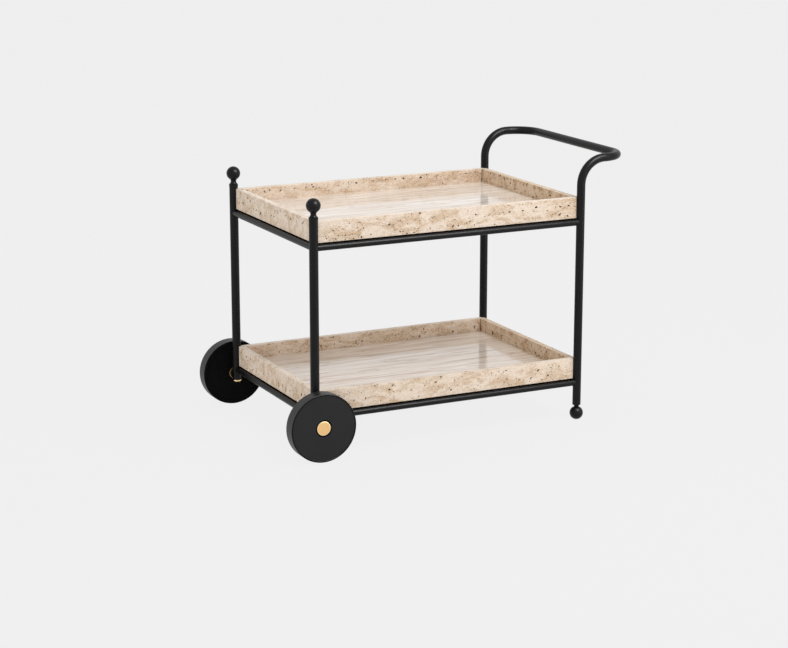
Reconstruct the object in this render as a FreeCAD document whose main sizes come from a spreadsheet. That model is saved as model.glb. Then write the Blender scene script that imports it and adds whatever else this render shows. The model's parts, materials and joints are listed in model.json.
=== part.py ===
import FreeCAD, Part
import Sketcher
import os
import re

# Two-tier serving trolley: a frame of thin round tube, two open stone trays and two large wheels.
#
# Frame of the part: origin on the floor, in the middle of the outline seen from above. +X points to
# the handle, +Z up. The wheels are at the front (-X). Left (-Y) and right (+Y) are as seen by the
# person who pushes. Millimetres and degrees.

# ---------------------------------------------------------------- driving dimensions

SIZES = {
    # frame
    "post_spacing_length": 830,     # front post axis to back post axis
    "post_spacing_width": 570,      # left post axis to right post axis
    "front_post_diameter": 25,
    "rear_tube_diameter": 24,
    "rail_diameter": 18,
    "tube_wall": 1.5,
    "upper_rail_height": 583,       # floor to the axis of the upper rails
    "lower_rail_rise": 15,          # lower rails above the wheel axis
    "post_above_tray": 5,           # front post tube above the rim of the upper tray
    "post_below_axle": 10,          # front post tube below the underside of the wheel's axle
    # handle
    "handle_height": 764,           # floor to the axis of the crossbar
    "rise_bend_radius": 74,
    "arm_straight": 2,
    "corner_bend_radius": 72,
    # ball finials and ball feet
    "finial_ball_diameter": 40,
    "finial_neck_diameter": 16,
    "finial_neck_drop": 23.3,       # ball centre to the thinnest place of the neck
    "finial_scotia_radius": 9.2,
    "finial_collar_overhang": 0.5,  # collar beyond the post, all round
    "finial_seat_drop": 39,         # ball centre to the end of the post
    "foot_ball_diameter": 39,
    "foot_neck_diameter": 13,
    "foot_neck_drop": 18.5,
    "foot_scotia_radius": 6.6,
    "foot_collar_overhang": 0,
    "foot_seat_drop": 26,
    "plug_length": 18,
    "stud_diameter": 8,
    "stud_depth": 14,               # into the plug, and as far into the ball piece
    # brass ends of the front posts
    "end_cap_height": 4.5,
    "end_cap_rounding": 2,
    "end_cap_plug": 4,
    # trays
    "tray_height": 60,
    "tray_wall": 18,
    "slab_thickness": 20,
    "tray_inset": 2,                # outer faces inside the planes through the post axes
    "notch_clearance": 1.3,         # between a post and its notch
    "tray_lift": 3,                 # underside of a tray above the crests of its rails
    "tray_bevel": 1,
    "strip_width": 8,               # rest strips between the rails and a tray
    "strip_height": 5,
    # wheels
    "wheel_diameter": 192,
    "wheel_thickness": 38,
    "wheel_gap": 9,                 # between front post and wheel
    "tyre_thickness": 10,
    "tyre_rim_width": 4.5,          # what shows of the tyre round the outer face
    "tyre_rounding": 1.5,
    "rim_rounding": 0.8,            # the same, on the tyre's inner edges
    "face_recess": 1,               # outer face behind the edge of the tyre
    "back_recess": 2,
    "lip_thickness": 4,             # flange of the disc that holds the tyre from outside
    "boss_diameter": 48,
    "boss_height": 4,
    "web_thickness": 17,            # what is left of the wheel behind the nut chamber
    "chamber_diameter": 34,         # room for washer and nut
    "recess_diameter": 47.5,
    "recess_depth": 5,
    # hubs
    "axle_diameter": 12,
    "running_clearance": 0.05,      # radial, bush on axle
    "end_play": 0.3,
    "bush_diameter": 20,
    "bush_flange_diameter": 36,
    "bush_flange_thickness": 2,
    "spacer_diameter": 32,
    "spacer_seat": 3,               # how far a spacer reaches round its post
    "washer_diameter": 24,
    "washer_thickness": 2,
    "nut_across_flats": 19,
    "nut_height": 6,
    "axle_stand_out": 1,
    "cap_diameter": 39.5,
    "cap_bevel_width": 2.2,
    "cap_bevel_depth": 0.8,
    "cap_skirt_length": 7,
    "cap_skirt_wall": 2,
}

doc = FreeCAD.newDocument("serving_trolley")
sheet = doc.addObject("Spreadsheet::Sheet", "Sizes")
for row, (alias, number) in enumerate(SIZES.items(), start=1):
    sheet.set(f"A{row}", alias.replace("_", " "))
    sheet.set(f"B{row}", str(number))
    sheet.setAlias(f"B{row}", alias)
doc.recompute()

# ---------------------------------------------------------------- places that follow from the sizes

wheel_radius = "wheel_diameter / 2"
front_post_radius = "front_post_diameter / 2"
rear_tube_radius = "rear_tube_diameter / 2"
rail_radius = "rail_diameter / 2"
axle_radius = "axle_diameter / 2"

handle_reach = "(rise_bend_radius + arm_straight + corner_bend_radius)"
overall_length = f"({wheel_radius} + post_spacing_length + {handle_reach} + {rear_tube_radius})"
front_x = f"({wheel_radius} - {overall_length} / 2)"
rear_x = f"({front_x} + post_spacing_length)"
crossbar_x = f"({rear_x} + {handle_reach})"
left_y = "(-post_spacing_width / 2)"
right_y = "(post_spacing_width / 2)"

axle_height = f"({wheel_radius})"
lower_rail_height = f"({axle_height} + lower_rail_rise)"
upper_tray_bottom = f"(upper_rail_height + {rail_radius} + tray_lift)"
lower_tray_bottom = f"({lower_rail_height} + {rail_radius} + tray_lift)"
post_top = f"({upper_tray_bottom} + tray_height + post_above_tray)"
post_bottom = f"({axle_height} - {axle_radius} - post_below_axle)"
foot_ball_height = "(foot_ball_diameter / 2)"
rear_tube_bottom = f"({foot_ball_height} + foot_seat_drop)"
finial_ball_height = f"({post_top} + finial_seat_drop)"

# Along a wheel's axis, outwards from the axis of the front post.
wheel_inner = f"({front_post_radius} + wheel_gap)"
wheel_outer = f"({wheel_inner} + wheel_thickness)"
boss_face = f"({wheel_inner} - boss_height)"
flange_face = f"({boss_face} - bush_flange_thickness)"
spacer_end = f"({flange_face} - end_play)"
chamber_floor = f"({wheel_inner} + web_thickness)"
washer_start = f"({chamber_floor} + end_play)"
nut_start = f"({washer_start} + washer_thickness)"
axle_end = f"({nut_start} + nut_height + axle_stand_out)"
face = f"({wheel_outer} - face_recess)"
back = f"({wheel_inner} + back_recess)"
lip_start = f"({face} - lip_thickness)"
recess_floor = f"({face} - recess_depth)"
skirt_end = f"({recess_floor} - cap_skirt_length)"

# ---------------------------------------------------------------- helpers

V = FreeCAD.Vector
X, Y, Z = V(1, 0, 0), V(0, 1, 0), V(0, 0, 1)
ALONG = {
    "X": FreeCAD.Rotation(Z, X),
    "Y": FreeCAD.Rotation(Z, Y),
    "-Y": FreeCAD.Rotation(Z, -Y),
    "Z": FreeCAD.Rotation(),
    "-Z": FreeCAD.Rotation(X, 180),
}
ORIGIN_POINT = (-1, 1)
HORIZONTAL_AXIS = -1
VERTICAL_AXIS = -2
FULL_TURN = 360
QUARTER_TURN = 90
TINY = 0.001

pieces = []


def cells(text):
    """The expression with every size's name turned into a reference to its cell."""
    return re.sub(r"[a-z_]{3,}", lambda word: "Sizes." + word[0] if word[0] in SIZES else word[0], text)


def number(text):
    """The expression's value now, for the first guess of a sketch."""
    return float(sheet.evalExpression(cells(text)))


def bind(item, properties):
    for name, text in properties.items():
        item.setExpression(name, cells(text))
    return item


def place(item, at, rotation=None):
    """Set the turn as a fixed one, and bind the three coordinates of the place."""
    item.Placement = FreeCAD.Placement(V(), rotation or FreeCAD.Rotation())
    return bind(item, {"Placement.Base." + axis: text for axis, text in zip("xyz", at)})


def piece(item, label):
    """Give a finished sub-part its label; it is written to a file of that name."""
    item.Label = label
    pieces.append(item)
    return item


def cylinder(radius, length, at, along):
    rod = doc.addObject("Part::Cylinder", "round")
    bind(rod, {"Radius": radius, "Height": length})
    return place(rod, at, ALONG[along])


def bend(bend_radius, tube_radius, at, rotation):
    """A quarter of a ring, from its local X axis to its local Y axis."""
    ring = doc.addObject("Part::Torus", "bend")
    bind(ring, {"Radius1": bend_radius, "Radius2": tube_radius})
    ring.Angle3 = QUARTER_TURN
    return place(ring, at, rotation)


def block(size, at):
    box = doc.addObject("Part::Box", "block")
    bind(box, dict(zip(("Length", "Width", "Height"), size)))
    return place(box, at)


def join(items):
    if len(items) == 1:
        return items[0]
    union = doc.addObject("Part::MultiFuse", "union")
    union.Shapes = items
    union.Refine = True
    return union


def cut(base, tools):
    difference = doc.addObject("Part::Cut", "difference")
    difference.Base = base
    difference.Tool = join(tools)
    difference.Refine = True
    return difference


def group(items):
    together = doc.addObject("Part::Compound", "group")
    together.Links = items
    return together


def new_body(at, rotation=None):
    return place(doc.addObject("PartDesign::Body", "body"), at, rotation)


def new_sketch(body, plane_role):
    sketch = body.newObject("Sketcher::SketchObject", "outline")
    plane = [item for item in body.Origin.OriginFeatures if item.Role == plane_role][0]
    sketch.AttachmentSupport = [(plane, "")]
    sketch.MapMode = "FlatFace"
    return sketch


def fix(sketch, kind, line, end, text):
    """Bind one coordinate of a point, measured from the sketch's origin."""
    if text == "0":
        axis = VERTICAL_AXIS if kind == "DistanceX" else HORIZONTAL_AXIS
        sketch.addConstraint(Sketcher.Constraint("PointOnObject", line, end, axis))
        return
    index = sketch.addConstraint(Sketcher.Constraint(kind, *ORIGIN_POINT, line, end, number(text)))
    sketch.setExpression(f"Constraints[{index}]", cells(text))


def draw_outline(sketch, corners):
    """A closed outline of straight lines, each corner bound to its two expressions."""
    points = [V(number(across), number(up), 0) for across, up in corners]
    count = len(points)
    lines = [Part.LineSegment(points[i], points[(i + 1) % count]) for i in range(count)]
    sketch.addGeometry(lines, False)
    for i, (across, up) in enumerate(corners):
        sketch.addConstraint(Sketcher.Constraint("Coincident", i, 2, (i + 1) % count, 1))
        fix(sketch, "DistanceX", i, 1, across)
        fix(sketch, "DistanceY", i, 1, up)


def turned(corners, at, along):
    """A turned piece: each corner is a radius and a distance along the axis."""
    body = new_body(at, ALONG[along])
    sketch = new_sketch(body, "XZ_Plane")
    draw_outline(sketch, corners)
    turning = body.newObject("PartDesign::Revolution", "turning")
    turning.Profile = sketch
    turning.ReferenceAxis = (sketch, ["V_Axis"])
    turning.Angle = FULL_TURN
    doc.recompute()
    return body


def dress(body, kind, edges_wanted, properties):
    """Round or bevel those edges of a body that the test picks out."""
    base = body.Tip
    names = [f"Edge{i}" for i, edge in enumerate(base.Shape.Edges, start=1) if edges_wanted(edge)]
    if not names:
        raise RuntimeError("no edge found to dress on " + body.Label)
    dressing = body.newObject("PartDesign::" + kind, kind.lower())
    dressing.Base = (base, names)
    bind(dressing, properties)
    doc.recompute()
    return dressing


def circle_at(radius, along):
    """Test for a circular edge of a turned body, by its radius and its place along the axis."""
    wanted_radius, wanted_along = number(radius), number(along)

    def is_wanted(edge):
        box = edge.BoundBox
        return (abs(box.XMax - wanted_radius) < TINY and abs(box.ZMin - wanted_along) < TINY
                and abs(box.ZMax - wanted_along) < TINY)

    return is_wanted


# ---------------------------------------------------------------- frame

SIDES = {"left": left_y, "right": right_y}
OUTWARD = {"left": "-Y", "right": "Y"}
RAIL_HEIGHTS = {"upper": "upper_rail_height", "lower": lower_rail_height}


def outward(side, distance):
    """The y of a place at this distance outside the axis of a front post."""
    return f"({SIDES[side]} {'-' if side == 'left' else '+'} {distance})"


post_length = f"({post_top} - {post_bottom})"
front_post_envelope = {}
rear_post_envelope = {}
for side, y in SIDES.items():
    front_post_envelope[side] = cylinder(front_post_radius, post_length, (front_x, y, post_bottom), "Z")
    rear_height = f"(handle_height - rise_bend_radius - {rear_tube_bottom})"
    rear_post_envelope[side] = cylinder(rear_tube_radius, rear_height, (rear_x, y, rear_tube_bottom), "Z")


def through_bar(side):
    """Bar of the axle's size, from the inner side of a front post outwards."""
    start = (front_x, outward(side, f"(-{front_post_radius})"), axle_height)
    return cylinder(axle_radius, f"({front_post_radius} + {axle_end})", start, OUTWARD[side])


def wheel_axle(side, y):
    """Stub axle through a front post: flush with the post inside, standing out for the wheel."""
    in_post = doc.addObject("Part::Common", "in_post")
    in_post.Base = through_bar(side)
    in_post.Tool = front_post_envelope[side]
    standing_out = cylinder(axle_radius, axle_end, (front_x, y, axle_height), OUTWARD[side])
    return join([in_post, standing_out])


def front_post(side, y):
    bore = cylinder(f"{front_post_radius} - tube_wall", post_length, (front_x, y, post_bottom), "Z")
    return cut(front_post_envelope[side], [bore, through_bar(side)])


def coped_tube(outer, bore_start, length, along, neighbours):
    """A rail: its bar less its bore, and less what it is coped to."""
    bore = cylinder(f"{rail_radius} - tube_wall", length, bore_start, along)
    return cut(outer, [bore, *neighbours])


axles = {side: piece(wheel_axle(side, y), f"wheel_axle_{side}") for side, y in SIDES.items()}
for side, y in SIDES.items():
    piece(front_post(side, y), f"front_post_{side}")

# The side rails run from post to post; the cross rails are coped to the posts and to the side rails.
rail_envelope = {}
for tier, height in RAIL_HEIGHTS.items():
    side_rails = []
    for side, y in SIDES.items():
        start = (front_x, y, height)
        bar = cylinder(rail_radius, "post_spacing_length", start, "X")
        posts = [front_post_envelope[side], rear_post_envelope[side]]
        piece(coped_tube(bar, start, "post_spacing_length", "X", posts), f"{tier}_rail_{side}")
        rail_envelope[tier, side] = bar
        side_rails.append(bar)
    for end, x, posts in (("front", front_x, front_post_envelope), ("rear", rear_x, rear_post_envelope)):
        start = (x, left_y, height)
        bar = cylinder(rail_radius, "post_spacing_width", start, "Y")
        neighbours = [*posts.values(), *side_rails]
        piece(coped_tube(bar, start, "post_spacing_width", "Y", neighbours), f"{tier}_rail_{end}")
        rail_envelope[tier, end] = bar


# ---------------------------------------------------------------- handle

def tube_run(make_run):
    """One stretch of the bent tube: a round bar, less its bore on the same path."""
    return cut(make_run(rear_tube_radius), [make_run(f"({rear_tube_radius} - tube_wall)")])


def handle_runs(side, y):
    """Back post, rise bend, short straight and corner bend of one side, from the foot upwards."""
    rise_x = f"({rear_x} + rise_bend_radius)"
    rise_start = "(handle_height - rise_bend_radius)"
    upright = f"({rise_start} - {rear_tube_bottom})"
    rise_turn = FreeCAD.Rotation(-X, Z, Y, "XYZ")
    corner_x = f"({crossbar_x} - corner_bend_radius)"
    corner_turn = FreeCAD.Rotation(-Y, X, Z, "XYZ") if side == "left" else FreeCAD.Rotation()
    corner = (corner_x, corner_y[side], "handle_height")
    return [
        tube_run(lambda r: cylinder(r, upright, (rear_x, y, rear_tube_bottom), "Z")),
        tube_run(lambda r: bend("rise_bend_radius", r, (rise_x, y, rise_start), rise_turn)),
        tube_run(lambda r: cylinder(r, "arm_straight", (rise_x, y, "handle_height"), "X")),
        tube_run(lambda r: bend("corner_bend_radius", r, corner, corner_turn)),
    ]


corner_y = {"left": f"({left_y} + corner_bend_radius)", "right": f"({right_y} - corner_bend_radius)"}
crossbar_length = "(post_spacing_width - 2 * corner_bend_radius)"
crossbar_start = (crossbar_x, corner_y["left"], "handle_height")
runs = [tube_run(lambda r: cylinder(r, crossbar_length, crossbar_start, "Y"))]
for side, y in SIDES.items():
    runs.extend(handle_runs(side, y))
piece(join(runs), "handle_tube")


# ---------------------------------------------------------------- ball finials and ball feet

def ball_piece(kind, centre, along, post_radius):
    """A ball on a hollowed neck with a collar; the collar sits on the end of a post.

    The neck is a cylinder as wide as the collar, hollowed by a ring of round section. Where that
    cylinder is as wide as the ball, it ends inside the ball.
    """
    x, y, height = centre
    sign = "-" if along == "-Z" else "+"
    ball = doc.addObject("Part::Sphere", "ball")
    place(bind(ball, {"Radius": f"{kind}_ball_diameter / 2"}), centre)
    collar_radius = f"({post_radius} + {kind}_collar_overhang)"
    hidden = f"sqrt((({kind}_ball_diameter / 2) ^ 2) - ({collar_radius} ^ 2))"
    neck_start = (x, y, f"({height} {sign} {hidden})")
    neck = cylinder(collar_radius, f"({kind}_seat_drop - {hidden})", neck_start, along)
    scotia = doc.addObject("Part::Torus", "scotia")
    scotia_ring = f"{kind}_neck_diameter / 2 + {kind}_scotia_radius"
    bind(scotia, {"Radius1": scotia_ring, "Radius2": f"{kind}_scotia_radius"})
    place(scotia, (x, y, f"({height} {sign} {kind}_neck_drop)"))
    seat = f"({height} {sign} {kind}_seat_drop)"
    hole_start = (x, y, f"({seat} - stud_depth)")
    stud_hole = cylinder("stud_diameter / 2", "2 * stud_depth", hole_start, "Z")
    return cut(join([ball, cut(neck, [scotia])]), [stud_hole])


def threaded_plug(x, y, seat, tube_diameter, along):
    """A plug pressed into the end of a post, from the tube's end inwards, bored for its stud."""
    body = cylinder(f"{tube_diameter} / 2 - tube_wall", "plug_length", (x, y, seat), along)
    hole = cylinder("stud_diameter / 2", "plug_length", (x, y, seat), along)
    return cut(body, [hole])


def stud(x, y, seat):
    """A stud, half in the plug and half in the ball piece."""
    return cylinder("stud_diameter / 2", "2 * stud_depth", (x, y, f"({seat} - stud_depth)"), "Z")


for side, y in SIDES.items():
    finial = ball_piece("finial", (front_x, y, finial_ball_height), "-Z", front_post_radius)
    piece(finial, f"finial_{side}")
    piece(ball_piece("foot", (rear_x, y, foot_ball_height), "Z", rear_tube_radius), f"foot_{side}")

piece(group([threaded_plug(front_x, y, post_top, "front_post_diameter", "-Z") for y in SIDES.values()]),
      "finial_plugs")
piece(group([stud(front_x, y, post_top) for y in SIDES.values()]), "finial_studs")
piece(group([threaded_plug(rear_x, y, rear_tube_bottom, "rear_tube_diameter", "Z")
             for y in SIDES.values()]), "foot_plugs")
piece(group([stud(rear_x, y, rear_tube_bottom) for y in SIDES.values()]), "foot_studs")


def post_end_cap(y):
    """Brass cap: a plate as wide as the post, rounded below, with a plug that goes into the tube."""
    plug_radius = f"({front_post_radius} - tube_wall)"
    corners = [
        ("0", "0"),
        (front_post_radius, "0"),
        (front_post_radius, "end_cap_height"),
        (plug_radius, "end_cap_height"),
        (plug_radius, "(end_cap_height + end_cap_plug)"),
        ("0", "(end_cap_height + end_cap_plug)"),
    ]
    cap = turned(corners, (front_x, y, f"({post_bottom} - end_cap_height)"), "Z")
    dress(cap, "Fillet", circle_at(front_post_radius, "0"), {"Radius": "end_cap_rounding"})
    return cap


for side, y in SIDES.items():
    piece(post_end_cap(y), f"post_end_cap_{side}")

# ---------------------------------------------------------------- trays

tray_length = "(post_spacing_length - 2 * tray_inset)"
tray_width = "(post_spacing_width - 2 * tray_inset)"
tray_front = f"({front_x} + tray_inset)"
tray_rear = f"({rear_x} - tray_inset)"
tray_left = f"({left_y} + tray_inset)"
tray_right = f"({right_y} - tray_inset)"
front_notch = f"({front_post_radius} + notch_clearance)"
rear_notch = f"({rear_tube_radius} + notch_clearance)"

# name, length, outer corner where it starts, quarter turns, notch at its start and at its end
RIMS = (
    ("left", tray_length, (tray_front, tray_left), 0, front_notch, rear_notch),
    ("rear", tray_width, (tray_rear, tray_left), 1, rear_notch, rear_notch),
    ("right", tray_length, (tray_rear, tray_right), 2, rear_notch, front_notch),
    ("front", tray_width, (tray_front, tray_right), 3, front_notch, front_notch),
)


def rim(length, corner, turns, start_notch, end_notch, bottom):
    """An upstand: mitred at both ends, notched for the posts, with bevelled long edges."""
    body = new_body((*corner, bottom), FreeCAD.Rotation(Z, QUARTER_TURN * turns))
    outline = new_sketch(body, "XY_Plane")
    draw_outline(outline, [
        ("0", "0"),
        (length, "0"),
        (f"({length} - tray_wall)", "tray_wall"),
        ("tray_wall", "tray_wall"),
    ])
    bar = body.newObject("PartDesign::Pad", "bar")
    bar.Profile = outline
    bind(bar, {"Length": "tray_height"})
    doc.recompute()

    notches = new_sketch(body, "XY_Plane")
    ends = (("-tray_inset", start_notch), (f"({length} + tray_inset)", end_notch))
    for index, (across, radius) in enumerate(ends):
        centre = V(number(across), number("-tray_inset"), 0)
        notches.addGeometry(Part.Circle(centre, Z, number(radius)), False)
        fix(notches, "DistanceX", index, 3, across)
        fix(notches, "DistanceY", index, 3, "-tray_inset")
        radius_fixed = notches.addConstraint(Sketcher.Constraint("Radius", index, number(radius)))
        notches.setExpression(f"Constraints[{radius_fixed}]", cells(radius))
    clearing = body.newObject("PartDesign::Pocket", "notch")
    clearing.Profile = notches
    clearing.Reversed = True
    bind(clearing, {"Length": "tray_height"})
    doc.recompute()

    height = number("tray_height")

    def is_long_edge(edge):
        """The upper outer, upper inner and lower outer edges."""
        box = edge.BoundBox
        lies_along = box.YLength < TINY and box.ZLength < TINY
        is_upper = abs(box.ZMax - height) < TINY
        is_outer = abs(box.YMin) < TINY
        return lies_along and (is_upper or is_outer)

    dress(body, "Chamfer", is_long_edge, {"Size": "tray_bevel"})
    return body


def rest_strips(tier, bottom):
    """Four strips between a tray's edges and its rails: flat above, hollowed to the rail below."""
    strip_bottom = f"({bottom} - strip_height)"
    after_front = f"({front_x} + {front_notch})"
    after_left = f"({left_y} + {front_notch})"
    long_size = (f"(post_spacing_length - {front_notch} - {rear_notch})", "strip_width", "strip_height")
    cross_size = ("strip_width", f"(post_spacing_width - 2 * {front_notch})", "strip_height")
    strips = {
        "left": block(long_size, (after_front, tray_left, strip_bottom)),
        "right": block(long_size, (after_front, f"({tray_right} - strip_width)", strip_bottom)),
        "front": block(cross_size, (tray_front, after_left, strip_bottom)),
        "rear": block(cross_size, (f"({tray_rear} - strip_width)", after_left, strip_bottom)),
    }
    return group([cut(strip, [rail_envelope[tier, edge]]) for edge, strip in strips.items()])


for tier, bottom in (("upper", upper_tray_bottom), ("lower", lower_tray_bottom)):
    for name, length, corner, turns, start_notch, end_notch in RIMS:
        piece(rim(length, corner, turns, start_notch, end_notch, bottom), f"{tier}_tray_rim_{name}")
    slab_size = (f"({tray_length} - 2 * tray_wall)", f"({tray_width} - 2 * tray_wall)", "slab_thickness")
    slab_start = (f"({tray_front} + tray_wall)", f"({tray_left} + tray_wall)", bottom)
    piece(block(slab_size, slab_start), f"{tier}_tray_slab")
    piece(rest_strips(tier, bottom), f"{tier}_tray_strips")


# ---------------------------------------------------------------- wheels and hubs

bush_radius = "bush_diameter / 2"
chamber_radius = "chamber_diameter / 2"
recess_radius = "recess_diameter / 2"
tyre_seat_radius = f"({wheel_radius} - tyre_thickness)"
lip_radius = f"({wheel_radius} - tyre_rim_width)"


def wheel_disc(hub, along):
    """Solid disc: boss inside, flange that holds the tyre, recess and nut chamber outside."""
    corners = [
        (bush_radius, boss_face),
        ("boss_diameter / 2", boss_face),
        ("boss_diameter / 2", back),
        (tyre_seat_radius, back),
        (tyre_seat_radius, lip_start),
        (lip_radius, lip_start),
        (lip_radius, face),
        (recess_radius, face),
        (recess_radius, recess_floor),
        (chamber_radius, recess_floor),
        (chamber_radius, chamber_floor),
        (bush_radius, chamber_floor),
    ]
    return turned(corners, hub, along)


def tyre(hub, along):
    """Solid tyre: its rounded edges stand a little proud of the disc on both sides."""
    corners = [
        (tyre_seat_radius, wheel_inner),
        (wheel_radius, wheel_inner),
        (wheel_radius, wheel_outer),
        (lip_radius, wheel_outer),
        (lip_radius, lip_start),
        (tyre_seat_radius, lip_start),
    ]
    band = turned(corners, hub, along)
    edges = (
        (wheel_radius, wheel_inner, "tyre_rounding"),
        (wheel_radius, wheel_outer, "tyre_rounding"),
        (lip_radius, wheel_outer, "rim_rounding"),
        (tyre_seat_radius, wheel_inner, "rim_rounding"),
    )
    for radius, along_axis, rounding in edges:
        dress(band, "Fillet", circle_at(radius, along_axis), {"Radius": rounding})
    return band


def hub_bush(hub, along):
    """Flanged bush: it runs on the axle and carries the disc."""
    bore_radius = f"({axle_radius} + running_clearance)"
    return turned([
        (bore_radius, flange_face),
        ("bush_flange_diameter / 2", flange_face),
        ("bush_flange_diameter / 2", boss_face),
        (bush_radius, boss_face),
        (bush_radius, chamber_floor),
        (bore_radius, chamber_floor),
    ], hub, along)


def hub_cap(hub, along):
    """Flat bevelled cap, flush with the disc's face, held by a skirt in the nut chamber."""
    cap_radius = "cap_diameter / 2"
    skirt_bore = f"({chamber_radius} - cap_skirt_wall)"
    return turned([
        ("0", face),
        (f"({cap_radius} - cap_bevel_width)", face),
        (cap_radius, f"({face} - cap_bevel_depth)"),
        (cap_radius, recess_floor),
        (chamber_radius, recess_floor),
        (chamber_radius, skirt_end),
        (skirt_bore, skirt_end),
        (skirt_bore, recess_floor),
        ("0", recess_floor),
    ], hub, along)


def wheel_spacer(side):
    """Collar on the axle, from the post, to which it is coped, to the wheel's end play."""
    seat = f"({front_post_radius} - spacer_seat)"
    start = (front_x, outward(side, seat), axle_height)
    sleeve = cylinder("spacer_diameter / 2", f"({spacer_end} - {seat})", start, OUTWARD[side])
    return cut(sleeve, [axles[side], front_post_envelope[side]])


def washer(side):
    start = (front_x, outward(side, washer_start), axle_height)
    return cut(cylinder("washer_diameter / 2", "washer_thickness", start, OUTWARD[side]), [axles[side]])


def nut(side):
    hexagon = doc.addObject("Part::Prism", "hexagon")
    hexagon.Polygon = 6
    bind(hexagon, {"Circumradius": "nut_across_flats / sqrt(3)", "Height": "nut_height"})
    place(hexagon, (front_x, outward(side, nut_start), axle_height), ALONG[OUTWARD[side]])
    return cut(hexagon, [axles[side]])


for side, y in SIDES.items():
    hub = (front_x, y, axle_height)
    piece(wheel_disc(hub, OUTWARD[side]), f"wheel_disc_{side}")
    piece(tyre(hub, OUTWARD[side]), f"tyre_{side}")
    piece(hub_bush(hub, OUTWARD[side]), f"hub_bush_{side}")
    piece(hub_cap(hub, OUTWARD[side]), f"hub_cap_{side}")
    piece(wheel_spacer(side), f"wheel_spacer_{side}")

piece(group([washer(side) for side in SIDES]), "axle_washers")
piece(group([nut(side) for side in SIDES]), "axle_nuts")

# ---------------------------------------------------------------- check and write

doc.recompute()
for item in doc.Objects:
    if "Invalid" in item.State or "Error" in item.State:
        raise RuntimeError(f"{item.Name} ({item.Label}) failed: {item.State}")
for item in pieces:
    if item.Shape.isNull() or not item.Shape.isValid() or item.Shape.Volume <= 0:
        raise RuntimeError(f"{item.Label} has no valid shape")

os.makedirs("parts", exist_ok=True)
for item in pieces:
    item.Shape.exportStep(f"parts/{item.Label}.step")
print(f"{len(pieces)} sub-parts written")
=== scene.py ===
# %% [markdown]
# # A two-tier serving trolley
# The trolley is a frame of black tube that carries two open stone trays and rolls on two large wheels.
# Its construction arrives ready made, as a fixed frame: every piece already has its size and its place.
# This lesson adds what that frame lacks, which is the finish of each surface and the holes in the stone.
# All lengths are in metres. +X points to the handle, +Y to the far side and +Z up.

# %% Load the frame
import json
import math

import bpy
import numpy as np
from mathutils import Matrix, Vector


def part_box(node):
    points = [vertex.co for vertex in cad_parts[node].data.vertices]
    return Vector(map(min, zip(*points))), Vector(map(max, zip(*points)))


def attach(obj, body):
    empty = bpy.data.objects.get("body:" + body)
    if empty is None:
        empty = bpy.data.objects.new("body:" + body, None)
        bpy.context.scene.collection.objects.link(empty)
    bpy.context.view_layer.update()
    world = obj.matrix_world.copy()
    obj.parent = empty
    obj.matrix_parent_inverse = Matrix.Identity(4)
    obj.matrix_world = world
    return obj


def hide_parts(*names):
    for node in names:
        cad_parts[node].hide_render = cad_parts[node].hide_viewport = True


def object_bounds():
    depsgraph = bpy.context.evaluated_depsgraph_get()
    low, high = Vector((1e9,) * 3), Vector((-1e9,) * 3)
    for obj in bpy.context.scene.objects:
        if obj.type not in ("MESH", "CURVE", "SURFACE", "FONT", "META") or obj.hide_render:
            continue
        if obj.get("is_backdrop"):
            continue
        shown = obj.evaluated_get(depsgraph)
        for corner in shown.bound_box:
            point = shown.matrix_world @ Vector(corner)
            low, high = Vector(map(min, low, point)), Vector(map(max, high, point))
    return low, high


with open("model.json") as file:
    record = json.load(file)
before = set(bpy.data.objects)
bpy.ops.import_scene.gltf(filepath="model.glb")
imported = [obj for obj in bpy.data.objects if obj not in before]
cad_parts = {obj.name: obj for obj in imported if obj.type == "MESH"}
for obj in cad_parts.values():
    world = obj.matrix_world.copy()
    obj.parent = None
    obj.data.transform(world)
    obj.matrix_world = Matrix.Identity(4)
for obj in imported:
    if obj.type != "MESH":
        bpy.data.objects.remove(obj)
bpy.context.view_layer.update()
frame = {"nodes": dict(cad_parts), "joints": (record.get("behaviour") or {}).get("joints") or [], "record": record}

# %% [markdown]
# ## Colours
# A colour picker shows sRGB values, but a shader counts light, so each sRGB value has to be turned into
# a linear one first. One function does that for the whole scene, and every colour is written as the hex
# code that a painter would note down.


# %% One way to write a colour
def linear(hex_code):
    """A '#rrggbb' sRGB colour as linear RGBA."""
    shares = [int(hex_code[i:i + 2], 16) / 255 for i in (1, 3, 5)]
    return (*(c / 12.92 if c <= 0.04045 else ((c + 0.055) / 1.055) ** 2.4 for c in shares), 1.0)


print("mid grey in linear light:", round(linear("#808080")[0], 3))

# %% [markdown]
# ## Materials as small networks
# A material is a network of nodes. It could be clicked together in the Shader Editor; written as code it
# needs one helper that adds a node, gives it its settings, and joins or fills its inputs. A second helper
# opens a material with its Principled surface, which holds the plain values of the finish.

# %% Two helpers for materials
MM = 0.001
COLOURS = {"data_type": "RGBA"}


def add(tree, kind, settings=None, inputs=None):
    """Add a node. An input takes a value, or another node's output socket, which is then linked."""
    node = tree.nodes.new("ShaderNode" + kind)
    for name, value in (settings or {}).items():
        setattr(node, name, value)
    for name, value in (inputs or {}).items():
        if isinstance(value, bpy.types.NodeSocket):
            tree.links.new(value, node.inputs[name])
        else:
            node.inputs[name].default_value = value
    return node


def open_material(name, **plain):
    """A new material: its tree, its Principled surface with these plain values, and object coordinates."""
    material = bpy.data.materials.new(name)
    material.use_nodes = True
    tree = material.node_tree
    tree.nodes.clear()
    values = {key.replace("_", " "): value for key, value in plain.items()}
    surface = add(tree, "BsdfPrincipled", inputs=values)
    add(tree, "OutputMaterial", inputs={"Surface": surface.outputs["BSDF"]})
    return material, tree, surface, add(tree, "TexCoord").outputs["Object"]


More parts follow.
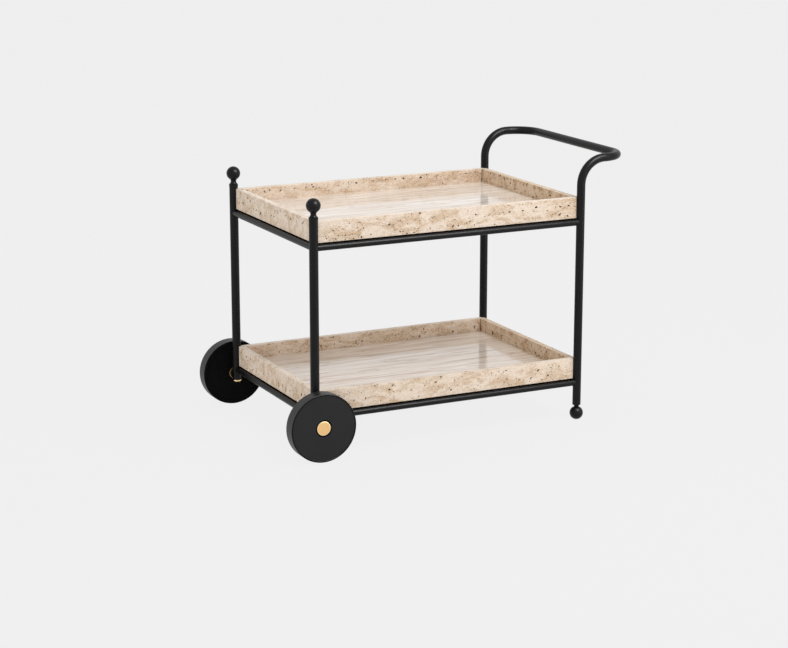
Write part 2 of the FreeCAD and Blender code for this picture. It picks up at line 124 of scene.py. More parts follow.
# %% [markdown]
# ## Satin black powder coat
# The tubes, the ball finials and the ball feet are steel under one coat of baked powder paint. It is
# almost black, with a soft sheen, and its skin has a very shallow ripple, which painters call orange
# peel. This coat is flatted with wax, so it reflects less than bare plastic does, and the highlights are
# wide and soft. The ripple is about 2 mm across, and is drawn that size.

# %% Black paint
RIPPLE, CLOUD = 2 * MM, 45 * MM
paint, tree, surface, where = open_material("satin_black_powder_coat", Specular_IOR_Level=0.16)
cloud = add(tree, "TexNoise", inputs={"Vector": where, "Scale": 1 / CLOUD, "Detail": 3.0}).outputs[0]
peel = add(tree, "TexNoise", inputs={"Vector": where, "Scale": 1 / RIPPLE, "Detail": 1.0}).outputs[0]
black = add(tree, "Mix", COLOURS, {0: cloud, 6: linear("#0b0b0c"), 7: linear("#141415")}).outputs[2]
tree.links.new(black, surface.inputs["Base Color"])
gloss = add(tree, "MapRange", inputs={"Value": cloud, "To Min": 0.3, "To Max": 0.36})
tree.links.new(gloss.outputs[0], surface.inputs["Roughness"])
ripple = add(tree, "Bump", inputs={"Height": peel, "Strength": 0.12, "Distance": 0.03 * MM})
tree.links.new(ripple.outputs[0], surface.inputs["Normal"])
print("made", paint.name)

# %% [markdown]
# ## Moulded black plastic and rubber
# The wheel's disc has the even, matt face of a moulding with a fine spark-eroded grain, about half a
# millimetre across. Its back, towards the frame, gets a blacker and duller material, which is painted
# shade, and so do the recess round its cap and the narrow side of its tyre. The tyre is rubber: as dark
# as the disc, but smoother, so its tread catches a grey sheen. The strips under the trays are black foam
# rubber, pitch black and without sheen, so that they also paint the shadow between trays and rails. The
# grain is too fine to show, so it is drawn about three times as coarse. The table gives two blacks, a
# roughness, the grain's size in millimetres and the sheen.

# %% Wheel, tyre and strips
MATT_BLACKS = {
    "moulded_black_disc": ("#1a1a1b", "#202021", 0.6, 1.6, 0.18),
    # Near-black and dull: painted shade for the wheels' backs, cap recesses and tyre sides.
    "black_painted_shade": ("#0a0a0a", "#101010", 0.8, 1.6, 0.06),
    "black_tyre_rubber": ("#171716", "#1d1d1c", 0.42, 1.2, 0.3),
    # Pitch black without sheen: foam rubber that also paints the shadow between trays and rails.
    "foam_rubber_and_painted_shadow": ("#040404", "#080808", 0.9, 1.0, 0.0),
}
UNEVEN, PATCH = 0.06, 30 * MM
matt = {}
for name, (dark, light, roughness, grain_size, sheen) in MATT_BLACKS.items():
    matt[name], tree, surface, where = open_material(name, Specular_IOR_Level=sheen)
    grain = add(tree, "TexNoise", inputs={"Vector": where, "Scale": 1 / (grain_size * MM)}).outputs[0]
    cloud = add(tree, "TexNoise", inputs={"Vector": where, "Scale": 1 / PATCH}).outputs[0]
    black = add(tree, "Mix", COLOURS, {0: cloud, 6: linear(dark), 7: linear(light)}).outputs[2]
    tree.links.new(black, surface.inputs["Base Color"])
    rough = add(tree, "MapRange", inputs={"Value": grain, "To Min": roughness - UNEVEN,
                                          "To Max": roughness + UNEVEN})
    tree.links.new(rough.outputs[0], surface.inputs["Roughness"])
    bump = add(tree, "Bump", inputs={"Height": grain, "Strength": 0.2, "Distance": 0.05 * MM})
    tree.links.new(bump.outputs[0], surface.inputs["Normal"])
print("made", list(matt))

# %% [markdown]
# ## Turned brass
# The hub caps, the bushes and the ends of the front posts are brass, turned on a lathe. The tool leaves
# rings round the turning axis, so the pattern has to follow the distance from that axis. On the hub caps
# the axis is the wheel's, which lies along Y. A metal keeps its default IOR: its colour is its reflection.
# Rings of a fine cut are usually about a fifth of a millimetre apart, which is assumed here, and they are
# drawn four times as coarse. Near its edge the cap is rounded, and a paler ring there is a painted
# highlight of that rounded edge.

# %% Brass
axle = frame["joints"][0]["pos_m"]
RINGS_APART, TARNISH = 0.8 * MM, 12 * MM
RIM_FROM, RIM_TO = 17.6 * MM, 18.4 * MM
brass, tree, surface, where = open_material("turned_satin_brass", Metallic=1.0)
from_axle = add(tree, "VectorMath", {"operation": "SUBTRACT"}, {0: where, 1: (axle[0], 0.0, axle[2])})
across = add(tree, "VectorMath", {"operation": "MULTIPLY"}, {0: from_axle.outputs[0], 1: (1.0, 0.0, 1.0)})
radius = add(tree, "VectorMath", {"operation": "LENGTH"}, {0: across.outputs[0]}).outputs["Value"]
rings = add(tree, "TexNoise", {"noise_dimensions": "1D"}, {"W": radius, "Scale": 1 / RINGS_APART}).outputs[0]
tarnish = add(tree, "TexNoise", inputs={"Vector": where, "Scale": 1 / TARNISH, "Detail": 3.0}).outputs[0]
gold = add(tree, "Mix", COLOURS, {0: tarnish, 6: linear("#eec58a"), 7: linear("#e3b274")}).outputs[2]
gold = add(tree, "Mix", COLOURS, {0: rings, 6: gold, 7: linear("#f0c98f")}).outputs[2]
# A paler ring near the cap's edge: a painted highlight of the rounded edge.
painted_rim_highlight = add(tree, "MapRange", inputs={"Value": radius, "From Min": RIM_FROM, "From Max": RIM_TO,
                                       "To Max": 0.8}).outputs[0]
gold = add(tree, "Mix", COLOURS, {0: painted_rim_highlight, 6: gold, 7: linear("#ffe2b4")}).outputs[2]
tree.links.new(gold, surface.inputs["Base Color"])
rough = add(tree, "MapRange", inputs={"Value": rings, "To Min": 0.26, "To Max": 0.42})
tree.links.new(rough.outputs[0], surface.inputs["Roughness"])
tool_marks = add(tree, "Bump", inputs={"Height": rings, "Strength": 0.15, "Distance": 0.04 * MM})
tree.links.new(tool_marks.outputs[0], surface.inputs["Normal"])

# %% [markdown]
# ## Zinc-plated steel
# Washers, nuts, studs and plugs are plain hardware, hidden by the caps and inside the posts. Zinc sets in
# grains called spangle, a few millimetres across, each a slightly different grey.

# %% Zinc for the hidden hardware
SPANGLE = 3 * MM
zinc, tree, surface, where = open_material("zinc_plated_steel", Metallic=1.0)
spangle = add(tree, "TexVoronoi", inputs={"Vector": where, "Scale": 1 / SPANGLE}).outputs["Distance"]
plating = add(tree, "Mix", COLOURS, {0: spangle, 6: linear("#b4b8bb"), 7: linear("#989ca0")}).outputs[2]
tree.links.new(plating, surface.inputs["Base Color"])
rough = add(tree, "MapRange", inputs={"Value": spangle, "To Min": 0.3, "To Max": 0.45})
tree.links.new(rough.outputs[0], surface.inputs["Roughness"])
print("made", brass.name, "and", zinc.name)

# %% [markdown]
# ## Two patterns that both finishes of the stone share
# Stone has fine lines that wander without an end. A smooth noise crosses its middle value along just such
# lines, so a line is drawn wherever the noise is close to 0.5. It also has round spots of mixed sizes. Each
# cell of a Voronoi pattern has a centre and a random colour; the colour decides how large a spot the cell
# gets, and cells with a low value get none.

# %% Lines and spots
UMBER = linear("#7d5838")


def wandering_lines(tree, noise, edge, core, strength):
    """Lines where a noise is within edge of its middle value, and full strength within core of it."""
    off_line = add(tree, "Math", {"operation": "SUBTRACT"}, {0: noise, 1: 0.5}).outputs[0]
    off_line = add(tree, "Math", {"operation": "ABSOLUTE"}, {0: off_line}).outputs[0]
    return add(tree, "MapRange", inputs={"Value": off_line, "From Min": edge, "From Max": core,
                                         "To Max": strength}).outputs[0]


def mixed_spots(tree, where, step, none_below, largest, edge, strength, crowd=1.0):
    """Spots in cells of the size step; largest and edge are shares of it, and crowd swells the spots."""
    cells = add(tree, "TexVoronoi", inputs={"Vector": where, "Scale": 1 / step}).outputs
    chance = add(tree, "SeparateColor", inputs={"Color": cells["Color"]}).outputs[0]
    reach = add(tree, "MapRange", inputs={"Value": chance, "From Min": none_below,
                                          "To Max": largest}).outputs[0]
    reach = add(tree, "Math", {"operation": "MULTIPLY"}, {0: reach, 1: crowd}).outputs[0]
    inside = add(tree, "Math", {"operation": "SUBTRACT"}, {0: reach, 1: cells["Distance"]}).outputs[0]
    return add(tree, "MapRange", inputs={"Value": inside, "From Max": edge, "To Max": strength}).outputs[0]


print("marks are drawn in", [round(share, 3) for share in UMBER[:3]])

# %% [markdown]
# ## Travertine, cut across its beds
# Travertine is limestone that a hot spring laid down in thin beds, with holes where gas and reeds were.
# The upstands of the trays show it sawn across the beds and honed, with the holes left open: pinkish cream
# stone, mottled with tan, with curly brown marks and small dark pores. On the long upstands the beds lie
# along the length, on the short ones they stand upright, and the rear ones get a browner, darker copy of
# the stone, which is painted shade. Faces that look up are painted paler, as a painted top light.
# The large cavities are real hollows in the mesh, made further down, and a point attribute called cavity
# tells the material where they are; the cavity values also carry the painted shade of the inside corners.
# Pores of 1 to 2 mm are too many for the mesh, so the material draws those. Honed stone is quite rough.

# %% Colours of a block of stone
BED, MOTTLE = 26 * MM, 3.5 * MM


def mottled_stone(tree, along, cream, tan, chalk):
    """Cream and tan beds, mottled with darker and lighter grains: the colour, the beds and the mottle."""
    beds = add(tree, "TexNoise", inputs={"Vector": along, "Scale": 1 / BED, "Detail": 5.0,
                                         "Distortion": 0.8}).outputs[0]
    mottle = add(tree, "TexNoise", inputs={"Vector": along, "Scale": 1 / MOTTLE, "Detail": 4.0,
                                           "Roughness": 0.65}).outputs[0]
    in_bed = add(tree, "MapRange", inputs={"Value": beds, "From Min": 0.42, "From Max": 0.64}).outputs[0]
    stone = add(tree, "Mix", COLOURS, {0: in_bed, 6: cream, 7: tan}).outputs[2]
    darker = add(tree, "MapRange", inputs={"Value": mottle, "From Min": 0.5, "From Max": 0.7,
                                           "To Max": 0.3}).outputs[0]
    stone = add(tree, "Mix", COLOURS, {0: darker, 6: stone, 7: UMBER}).outputs[2]
    lighter = add(tree, "MapRange", inputs={"Value": mottle, "From Min": 0.48, "From Max": 0.34,
                                            "To Max": 0.5}).outputs[0]
    return add(tree, "Mix", COLOURS, {0: lighter, 6: stone, 7: chalk}).outputs[2], beds, in_bed, mottle


print("a bed is about", round(BED * 1000), "mm thick")

# %% Holes in a block of stone
RAGGED = 4 * MM
RAGGED_BY = (5 * MM,) * 3


def open_pores(tree, where, beds, pore_step):
    """Ragged pores, more of them in the beds."""
    warp = add(tree, "TexNoise", inputs={"Vector": where, "Scale": 1 / RAGGED}).outputs["Color"]
    bent = add(tree, "VectorMath", {"operation": "MULTIPLY_ADD"},
               {0: warp, 1: RAGGED_BY, 2: where}).outputs[0]
    crowd = add(tree, "MapRange", inputs={"Value": beds, "From Min": 0.4, "From Max": 0.6, "To Min": 0.4,
                                          "To Max": 1.25}).outputs[0]
    return mixed_spots(tree, bent, pore_step, 0.3, 0.32, 0.05, 0.9, crowd)


print("pores are bent by up to", round(RAGGED_BY[0] * 1000), "mm")

# %% Open-pored stone of the upstands
PORE = linear("#47270f")
PALE_BLOCK = tuple(linear(code) for code in ("#ebd9c6", "#d8bd9f", "#f5ece1"))
# A browner, darker copy of the pale stone for the rear upstands: painted shade.
PAINTED_SHADE_BLOCK = tuple(linear(code) for code in ("#dcc6ac", "#c9aa87", "#e6d7c3"))
UPRIGHT = (1.0, 1.0, 0.8)
honed = {}
for direction, block, squash, pore_step, curl_step in (
    ("lengthways", PALE_BLOCK, (0.45, 1.0, 1.0), 5 * MM, 6 * MM),
    ("crossways", PALE_BLOCK, UPRIGHT, 6 * MM, 8 * MM),
    ("crossways_painted_shade", PAINTED_SHADE_BLOCK, UPRIGHT, 6 * MM, 8 * MM),
):
    honed[direction], tree, surface, where = open_material(
        "honed_travertine_" + direction, Specular_IOR_Level=0.15)
    along = add(tree, "VectorMath", {"operation": "MULTIPLY"}, {0: where, 1: squash}).outputs[0]
    stone, beds, in_bed, mottle = mottled_stone(tree, along, *block)
    # Faces that look up are mixed towards the palest colour: a painted top light.
    upward = add(tree, "SeparateXYZ", inputs={"Vector": where.node.outputs["Normal"]}).outputs["Z"]
    painted_top_light = add(tree, "MapRange", inputs={"Value": upward, "From Min": 0.6, "From Max": 0.9,
                                           "To Max": 0.5}).outputs[0]
    stone = add(tree, "Mix", COLOURS, {0: painted_top_light, 6: stone, 7: block[2]}).outputs[2]

    curls = add(tree, "TexNoise", inputs={"Vector": along, "Scale": 1 / curl_step, "Detail": 1.0,
                                          "Distortion": 2.5}).outputs[0]
    on_curl = wandering_lines(tree, curls, 0.024, 0.006, 0.7)
    curl = add(tree, "Math", {"operation": "MULTIPLY"}, {0: on_curl, 1: in_bed}).outputs[0]
    stone = add(tree, "Mix", COLOURS, {0: curl, 6: stone, 7: UMBER}).outputs[2]

    pore = open_pores(tree, where, beds, pore_step)
    cavity = add(tree, "Attribute", {"attribute_name": "cavity"}).outputs["Fac"]
    in_cavity = add(tree, "MapRange", inputs={"Value": cavity, "From Min": 0.05, "From Max": 0.45}).outputs[0]
    hole = add(tree, "Math", {"operation": "MAXIMUM"}, {0: pore, 1: in_cavity}).outputs[0]
    stone = add(tree, "Mix", COLOURS, {0: hole, 6: stone, 7: PORE}).outputs[2]
    tree.links.new(stone, surface.inputs["Base Color"])

    rough = add(tree, "MapRange", inputs={"Value": mottle, "To Min": 0.45, "To Max": 0.7})
    tree.links.new(rough.outputs[0], surface.inputs["Roughness"])
    relief = add(tree, "Math", {"operation": "SUBTRACT"}, {0: mottle, 1: pore}).outputs[0]
    bump = add(tree, "Bump", inputs={"Height": relief, "Strength": 0.4, "Distance": 0.3 * MM})
    tree.links.new(bump.outputs[0], surface.inputs["Normal"])
print("made", [material.name for material in honed.values()])

# %% [markdown]
# ## The same stone, polished
# The floors of the trays are sawn along the beds, filled and polished. The beds show as long thin veins,
# white and tan, that run the length of the tray, with a few fine brown seams and specks. The polish
# mirrors the posts, the far upstand and the sky at a low angle. A vein is 4 to 15 mm wide and hundreds of
# millimetres long, so the coordinates are squeezed along X.

# %% Veined stone of the floors
DRAWN_OUT = (0.06, 1.0, 1.0)
BAND, VEIN, SEAM, SPECK = 60 * MM, 15 * MM, 40 * MM, 9 * MM
floor_stone, tree, surface, where = open_material("polished_travertine", Specular_IOR_Level=0.5)
along = add(tree, "VectorMath", {"operation": "MULTIPLY"}, {0: where, 1: DRAWN_OUT}).outputs[0]
wide = add(tree, "TexNoise", inputs={"Vector": along, "Scale": 1 / BAND, "Detail": 4.0,
                                     "Distortion": 0.5}).outputs[0]
fine = add(tree, "TexNoise", inputs={"Vector": along, "Scale": 1 / VEIN, "Detail": 5.0,
                                     "Roughness": 0.7, "Distortion": 0.4}).outputs[0]
seams = add(tree, "TexNoise", inputs={"Vector": along, "Scale": 1 / SEAM, "Detail": 2.0,
                                      "Distortion": 1.2}).outputs[0]

stone = add(tree, "Mix", COLOURS, {0: wide, 6: linear("#f4ebe2"), 7: linear("#e4d4c4")}).outputs[2]
tan_vein = add(tree, "MapRange", inputs={"Value": fine, "From Min": 0.5, "From Max": 0.66, "To Max": 0.7})
stone = add(tree, "Mix", COLOURS, {0: tan_vein.outputs[0], 6: stone, 7: linear("#c4a588")}).outputs[2]
white_vein = add(tree, "MapRange", inputs={"Value": fine, "From Min": 0.47, "From Max": 0.35,
                                           "To Max": 0.85})
stone = add(tree, "Mix", COLOURS, {0: white_vein.outputs[0], 6: stone, 7: linear("#faf5ee")}).outputs[2]

on_seam = wandering_lines(tree, seams, 0.02, 0.004, 0.4)
on_speck = mixed_spots(tree, where, SPECK, 0.7, 0.16, 0.04, 0.7)
marked = add(tree, "Math", {"operation": "MAXIMUM"}, {0: on_seam, 1: on_speck}).outputs[0]
stone = add(tree, "Mix", COLOURS, {0: marked, 6: stone, 7: UMBER}).outputs[2]
tree.links.new(stone, surface.inputs["Base Color"])
rough = add(tree, "MapRange", inputs={"Value": fine, "To Min": 0.07, "To Max": 0.16})
tree.links.new(rough.outputs[0], surface.inputs["Roughness"])
print("made", floor_stone.name)

# %% [markdown]
# ## An upstand with open cavities
# Each upstand of a tray is a bar of stone with a mitre at both ends and a round notch where a post stands.
# Its cavities could be painted on with a bump map, but then they vanish at the edges and from the mesh.
# Here the bar is built as a fine grid instead: a ring of points round its section, repeated along its
# length. Where a cavity lies, the grid's points sink into the stone. The floor slab hides the lower 20 mm
# of the inner face, so the grid is coarse there and has no cavities.

# %% Sizes of an upstand
WALL, HEIGHT, BEVEL, INSET = 18 * MM, 60 * MM, 1 * MM, 2 * MM
NOTCH_AT_FRONT, NOTCH_AT_REAR = 13.8 * MM, 13.3 * MM
GRID, COARSE_GRID = 1.5 * MM, 8 * MM
HIDDEN_BELOW = 20 * MM


def section_ring():
    """Points round the section, as depth from the outer face, height, and how freely they may sink."""
    sides = (
        ((0, BEVEL), (0, HEIGHT - BEVEL), GRID),
        ((BEVEL, HEIGHT), (WALL - BEVEL, HEIGHT), GRID),
        ((WALL, HEIGHT - BEVEL), (WALL, HIDDEN_BELOW), GRID),
        ((WALL, HIDDEN_BELOW - GRID), (WALL, 0), COARSE_GRID),
        ((WALL - BEVEL, 0), (BEVEL, 0), GRID),
    )
    ring = []
    for (w0, z0), (w1, z1), grid in sides:
        count = max(1, round(math.hypot(w1 - w0, z1 - z0) / grid))
        for share in np.linspace(0, 1, count + 1):
            at_edge = share in (0.0, 1.0)
            ring.append((w0 + share * (w1 - w0), z0 + share * (z1 - z0), 0.0 if at_edge else 1.0))
    return np.array(ring)


def cut_back(depth, radius):
    """How far from the tray's corner the bar starts: on the mitre, or on the notch if that is further."""
    notch = np.sqrt(np.clip(radius ** 2 - (depth + INSET) ** 2, 0, None)) - INSET
    return np.maximum(depth, notch)


ring = section_ring()
print("points round a section:", len(ring))

# %% Scatter the cavities of one upstand
CAVITIES_PER_METRE = 520
BEDS_IN_A_BAR, SHARE_IN_BEDS, BED_SPREAD = 4, 0.6, 2.2 * MM
ON_OUTER_INNER_TOP = (0.48, 0.46, 0.06)
SMALLEST, LARGEST, LONGEST = 0.7, 2.6, 2.0


def scatter_cavities(length, slope, largeness, rng):
    """Centres as (along, depth, height), radii, stretches and slants of cavities on the faces that show."""
    count = int(CAVITIES_PER_METRE * length)
    beds = rng.uniform(0.1, 0.95, BEDS_IN_A_BAR) * HEIGHT
    in_bed = rng.random(count) < SHARE_IN_BEDS
    height = np.where(in_bed, rng.choice(beds, count) + rng.normal(0, BED_SPREAD, count),
                      rng.uniform(0, HEIGHT, count))
    face = rng.choice(3, count, p=ON_OUTER_INNER_TOP)
    depth = np.choose(face, (np.zeros(count), np.full(count, WALL), rng.uniform(0, WALL, count)))
    height = np.where(face == 2, HEIGHT, height)
    centres = np.stack([rng.uniform(0, length, count), depth, height], 1)
    size = np.clip(rng.lognormal(0.0, 0.4, count), SMALLEST, LARGEST) * largeness * MM
    stretch = rng.uniform(1.0, LONGEST, count)
    slant = rng.normal(slope, 0.6, count)
    return centres, size, stretch, slant


print("share of cavities on the outer face:", ON_OUTER_INNER_TOP[0])

# %% How far the grid sinks
RAGGEDNESS = (0.75, 1.3)
FULL_DEPTH_RADIUS = 1.6 * MM


def sink(points, centres, size, stretch, slant, rng):
    """How deep inside a cavity each point lies: 0 outside all of them, 1 in the middle of one."""
    depth = np.zeros(len(points))
    order = np.argsort(points[:, 0])
    sorted_along = points[order, 0]
    ragged = rng.uniform(*RAGGEDNESS, len(points))
    for centre, radius, long, angle in zip(centres, size, stretch, slant):
        reach = radius * long / RAGGEDNESS[0]
        first, last = np.searchsorted(sorted_along, (centre[0] - reach, centre[0] + reach))
        near = order[first:last]
        away = points[near] - centre
        turned = away[:, 0] * math.cos(angle) + away[:, 2] * math.sin(angle)
        across = away[:, 2] * math.cos(angle) - away[:, 0] * math.sin(angle)
        distance = np.sqrt((turned / long) ** 2 + across ** 2 + away[:, 1] ** 2) / radius
        bowl = (1 - (distance * ragged[near]) ** 2) * radius / FULL_DEPTH_RADIUS
        depth[near] = np.maximum(depth[near], bowl)
    return np.clip(depth, 0, 1)


print("a cavity of", round(FULL_DEPTH_RADIUS * 1000, 1), "mm radius or more reaches the full depth")

# %% [markdown]
# ## Eight bars from one function
# Every upstand is the same bar with other ends, so one function makes them all. It cuts the ring of points
# back at both ends, on the mitre or on the notch, then sinks the cavities and joins the rings with faces.
# The glued joint in a corner shows as a thin dark line, which also stands for the shade in the inside
# corner, so it is partly painted shade: the last two rings of the inner face count as shallow cavities for
# the material. Cavities lie flat on the long bars and slanted on the short ones.

# %% Build an upstand on the grid
CAVITY_HABIT = {"lengthways": (0.0, 0.88), "crossways": (1.2, 1.15), "crossways_painted_shade": (1.2, 1.15)}
DEEPEST = 2.4 * MM
JOINT_SHADE = 0.3


def upstand(name, node, corner, along, inward, length, notches, direction, seed):
    """One bar of the tray: corner is its outer lower corner, along and inward are its two directions."""
    rng = np.random.default_rng(seed)
    starts = cut_back(ring[:, 0], notches[0])
    ends = length - cut_back(ring[:, 0], notches[1])
    count = round(length / GRID)
    share = np.linspace(0, 1, count + 1)[:, None]
    u = starts + share * (ends - starts)
    w = np.broadcast_to(ring[:, 0], u.shape)
    z = np.broadcast_to(ring[:, 1], u.shape)
    points = np.stack([u.ravel(), w.ravel(), z.ravel()], 1)

    free = np.broadcast_to(ring[:, 2], u.shape).copy()
    free[[0, -1]] = 0
    free[:, (ring[:, 0] > WALL / 2) & (ring[:, 1] < HIDDEN_BELOW)] = 0
    free[:, ring[:, 1] < BEVEL / 2] = 0
    cavity = sink(points, *scatter_cavities(length, *CAVITY_HABIT[direction], rng), rng) * free.ravel()
    on_outer, on_inner = ring[:, 0] < BEVEL / 2, ring[:, 0] > WALL - BEVEL / 2
    sideways = np.where(on_outer, -1.0, np.where(on_inner, 1.0, 0.0))
    upward = np.where(ring[:, 1] > HEIGHT - BEVEL / 2, 1.0, 0.0)
    normals = np.tile(np.stack([np.zeros(len(ring)), sideways, upward], 1), (count + 1, 1))
    points = points - normals * (cavity * DEEPEST)[:, None]

    # The last rings of the inner face get a dark value: a joint line that is also painted shade of the corner.
    joint_line_and_shade = on_inner & (ring[:, 1] >= HIDDEN_BELOW)
    filled = cavity.reshape(u.shape)
    filled[[0, 1, -2, -1]] = np.where(joint_line_and_shade, JOINT_SHADE, filled[[0, 1, -2, -1]])

    n = len(ring)
    index = np.arange((count + 1) * n).reshape(count + 1, n)
    here, there = index[:-1], index[1:]
    quads = np.stack([here, there, np.roll(there, -1, 1), np.roll(here, -1, 1)], 2).reshape(-1, 4)
    faces = [tuple(face) for face in quads] + [tuple(index[0]), tuple(index[-1][::-1])]
    corner, along, inward = (np.array(item, float) for item in (corner, along, inward))
    places = corner + points[:, :1] * along + points[:, 1:2] * inward + points[:, 2:] * np.array([0, 0, 1.0])

    mesh = bpy.data.meshes.new(name)
    mesh.from_pydata(places.tolist(), [], faces)
    mesh.attributes.new("cavity", "FLOAT", "POINT").data.foreach_set("value", cavity.astype(np.float32))
    mesh.materials.append(honed[direction])
    mesh.validate()
    piece = bpy.data.objects.new(name, mesh)
    bpy.context.scene.collection.objects.link(piece)
    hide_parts(node)
    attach(piece, "frame")
    return piece


# %% All eight upstands
seed = 11
for tier in ("upper", "lower"):
    low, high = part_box(f"{tier}_tray_slab")
    front, rear, near, far, bottom = low.x - WALL, high.x + WALL, low.y - WALL, high.y + WALL, low.z
    length, width = rear - front, far - near
    both_front, both_rear = (NOTCH_AT_FRONT,) * 2, (NOTCH_AT_REAR,) * 2
    bars = {
        "left": ((front, near), (1, 0, 0), (0, 1, 0), length, (NOTCH_AT_FRONT, NOTCH_AT_REAR), "lengthways"),
        "rear": ((rear, near), (0, 1, 0), (-1, 0, 0), width, both_rear, "crossways_painted_shade"),
        "right": ((rear, far), (-1, 0, 0), (0, -1, 0), length, (NOTCH_AT_REAR, NOTCH_AT_FRONT), "lengthways"),
        "front": ((front, far), (0, -1, 0), (1, 0, 0), width, both_front, "crossways"),
    }
    for side, (corner, along, inward, bar_length, notches, direction) in bars.items():
        piece = upstand(f"{tier}_upstand_{side}", f"{tier}_tray_rim_{side}", (*corner, bottom), along, inward,
                        bar_length, notches, direction, seed)
        seed += 1
        print(piece.name, len(piece.data.polygons), "faces")

# %% [markdown]
# ## Give each node its finish
# The record names a slot for each node, such as brass or tyre, so the slots are what the finishes hang on.

# %% Finishes by slot
FINISHES = {
    "black_painted_steel": paint,
    "travertine": floor_stone,
    "brass": brass,
    "wheel_face": matt["moulded_black_disc"],
    "tyre": matt["black_tyre_rubber"],
    "rubber": matt["foam_rubber_and_painted_shadow"],
    "plain_steel": zinc,
}
for subpart in frame["record"]["subparts"]:
    node = frame["nodes"][subpart["node"]]
    node.data.materials.clear()
    node.data.materials.append(FINISHES[subpart["material_slot"]])

# %% [markdown]
# ## Painted shade on the wheels
# A wheel's back, the recess round its cap and the narrow side of its tyre get a blacker, duller material,
# which is painted shade. These are faces of the same two pieces, so a second material goes on the faces,
# chosen by where they look and where they lie.

# %% Backs, recesses and the tyre's sides
RECESS_RADIUS = 24 * MM
BACKWARD, SQUARELY_OUTWARD = 0.5, -0.97


def is_painted_shade(face, piece, toward_frame):
    """Whether a face of a wheel's disc or tyre gets the blacker, duller material that is painted shade."""
    looks_back = face.normal.y * toward_frame
    in_recess = math.hypot(face.center.x - axle[0], face.center.z - axle[2]) < RECESS_RADIUS
    return looks_back > BACKWARD or (looks_back < SQUARELY_OUTWARD if piece == "tyre" else in_recess)


for side, toward_frame in (("left", 1.0), ("right", -1.0)):
    for piece in ("wheel_disc", "tyre"):
        mesh = frame["nodes"][f"{piece}_{side}"].data
        mesh.materials.append(matt["black_painted_shade"])
        shaded = [face for face in mesh.polygons if is_painted_shade(face, piece, toward_frame)]
        for face in shaded:
            face.material_index = 1
        print(piece, side, len(shaded), "dull faces")

# %% [markdown]
# ## Floor and sky
# The trolley stands in an empty pale studio. The floor is lit like any floor, and most of what the camera
# sees of it is an even pale glow, so that it looks the same near and far. Only a twenty-fifth of it is lit,
# so the shadow under the trolley is a mere trace, one or two levels of 255. Reflections see the same glow,
# so that paint and brass mirror the studio the camera sees. The renderer can't sample a glow that differs
# from ray to ray, so floor and sky are left out of its light sampling.

# %% Pale floor
STUDIO = "#f0f0f0"
FLOOR_HALF = 40.0
mesh = bpy.data.meshes.new("studio_floor")
corners = [(x * FLOOR_HALF, y * FLOOR_HALF, 0.0) for x, y in ((-1, -1), (1, -1), (1, 1), (-1, 1))]
mesh.from_pydata(corners, [], [(0, 1, 2, 3)])
floor = bpy.data.objects.new("studio_floor", mesh)
bpy.context.scene.collection.objects.link(floor)
floor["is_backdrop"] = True


def seen_directly(tree):
    """1 for rays from the camera, and for those that a mirror or a glass sends on; else 0."""
    path = add(tree, "LightPath").outputs
    mirrored = add(tree, "Math", {"operation": "MAXIMUM"},
                   {0: path["Is Glossy Ray"], 1: path["Is Transmission Ray"]}).outputs[0]
    return add(tree, "Math", {"operation": "MAXIMUM"}, {0: path["Is Camera Ray"], 1: mirrored}).outputs[0]


SHARE_OF_GLOW = 0.96
studio_paint = bpy.data.materials.new("studio_floor_paint")
studio_paint.use_nodes = True
tree = studio_paint.node_tree
tree.nodes.clear()
glow = add(tree, "Emission", inputs={"Color": linear(STUDIO)})
lit = add(tree, "BsdfDiffuse", inputs={"Color": linear("#e6e6e6")})
share = add(tree, "Math", {"operation": "MULTIPLY"}, {0: seen_directly(tree), 1: SHARE_OF_GLOW})
both = add(tree, "MixShader", inputs={0: share.outputs[0], 1: lit.outputs[0], 2: glow.outputs[0]})
add(tree, "OutputMaterial", inputs={"Surface": both.outputs[0]})
studio_paint.cycles.emission_sampling = "NONE"
mesh.materials.append(studio_paint)

# %% Sky
SOFT_SKY = 0.68
world = bpy.data.worlds.new("studio")
bpy.context.scene.world = world
world.use_nodes = True
world.cycles.sampling_method = "NONE"
tree = world.node_tree
tree.nodes.clear()
soft = add(tree, "Background", inputs={"Color": linear("#ffffff"), "Strength": SOFT_SKY})
shown = add(tree, "Background", inputs={"Color": linear(STUDIO), "Strength": 1.0})
sky = add(tree, "MixShader", inputs={0: seen_directly(tree), 1: soft.outputs[0], 2: shown.outputs[0]})
add(tree, "OutputWorld", inputs={"Surface": sky.outputs[0]})
print("sky:", world.name, "floor:", floor.name)

# %% [markdown]
# ## Lamps and screens
# Four soft lamps light the scene: one high, one above, one low and one at the side. Each has a screen in the
# same place, as a photographer sets up white cards. A screen is seen in reflections alone, and only by the
# black and brass pieces. It draws their soft highlights, while the polished stone mirrors the even sky and
# never burns out. Bare lamps would do both jobs at once, but then their glare lies on the stone.

# %% Softboxes and their screens
MIDDLE = (0.0, 0.0, 0.4)


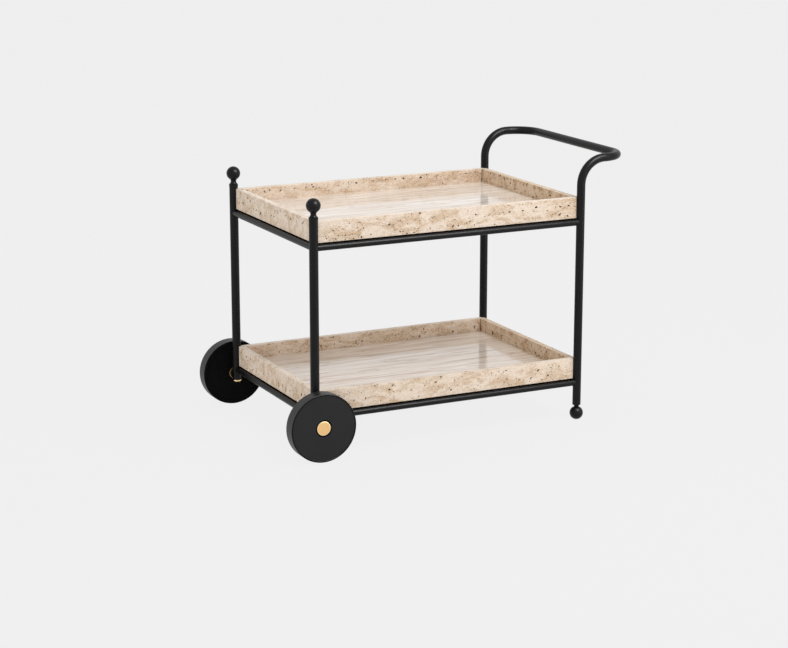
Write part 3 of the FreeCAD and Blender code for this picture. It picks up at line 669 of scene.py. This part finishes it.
def softbox(name, place, size, watts):
    """A square lamp that faces the middle of the trolley and that the camera doesn't see."""
    lamp = bpy.data.objects.new(name, bpy.data.lights.new(name, "AREA"))
    lamp.data.shape, lamp.data.size, lamp.data.energy = "SQUARE", size, watts
    lamp.location = place
    lamp.visible_camera = False
    toward = np.array(MIDDLE) - np.array(place)
    tilt, turn = math.atan2(math.hypot(*toward[:2]), -toward[2]), math.atan2(-toward[0], toward[1])
    lamp.rotation_euler = (tilt, 0, turn)
    bpy.context.scene.collection.objects.link(lamp)
    return lamp


shiny_pieces = bpy.data.collections.new("shiny_pieces")
for subpart in frame["record"]["subparts"]:
    if subpart["material_slot"] != "travertine":
        shiny_pieces.objects.link(frame["nodes"][subpart["node"]])

LAMPS = {  # place, size and watts of the softbox, size and watts of its screen
    "high": ((0.9, -2.5, 3.4), (1.2, 52), (1.8, 290)),
    "top": ((0.0, 0.3, 3.8), (2.4, 14), (2.4, 14)),
    "low": ((2.6, -2.7, 0.8), (1.0, 18), (1.0, 38)),
    "side": ((-3.6, -0.8, 0.9), (1.6, 14), (1.6, 14)),
}
for name, (place, softbox_light, screen_light) in LAMPS.items():
    softbox(name + "_softbox", place, *softbox_light).visible_glossy = False
    screen = softbox(name + "_screen", place, *screen_light)
    screen.visible_diffuse = False
    screen.light_linking.receiver_collection = shiny_pieces
print("lamps:", [item.name for item in bpy.data.lights])

# %% [markdown]
# ## The camera
# The photograph was taken from the wheels' side, a little above the handle and from several metres away,
# with a long lens, which keeps the uprights almost parallel. The place and the two angles below were
# fitted to the outlines of posts, rails and wheels.

# %% Camera
SENSOR_MM = 36.0
PICTURE_WIDTH = 788
FOCAL_PIXELS = 2067.5
YAW, PITCH = 26.153, 13.845
camera = bpy.data.objects.new("camera", bpy.data.cameras.new("camera"))
camera.data.sensor_width = SENSOR_MM
camera.data.sensor_fit = "HORIZONTAL"
camera.data.lens = FOCAL_PIXELS / PICTURE_WIDTH * SENSOR_MM
camera.data.clip_end = 200.0
camera.location = (-2.6408, -5.2399, 1.7091)
camera.rotation_euler = (math.radians(90 - PITCH), 0.0, math.radians(-YAW))
bpy.context.scene.collection.objects.link(camera)
bpy.context.scene.camera = camera
bpy.context.scene.view_settings.view_transform = "Standard"
print("lens:", round(camera.data.lens, 2), "mm")

# %% Measure the visual size
low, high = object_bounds()
print("visual size:", [round(side, 4) for side in high - low])
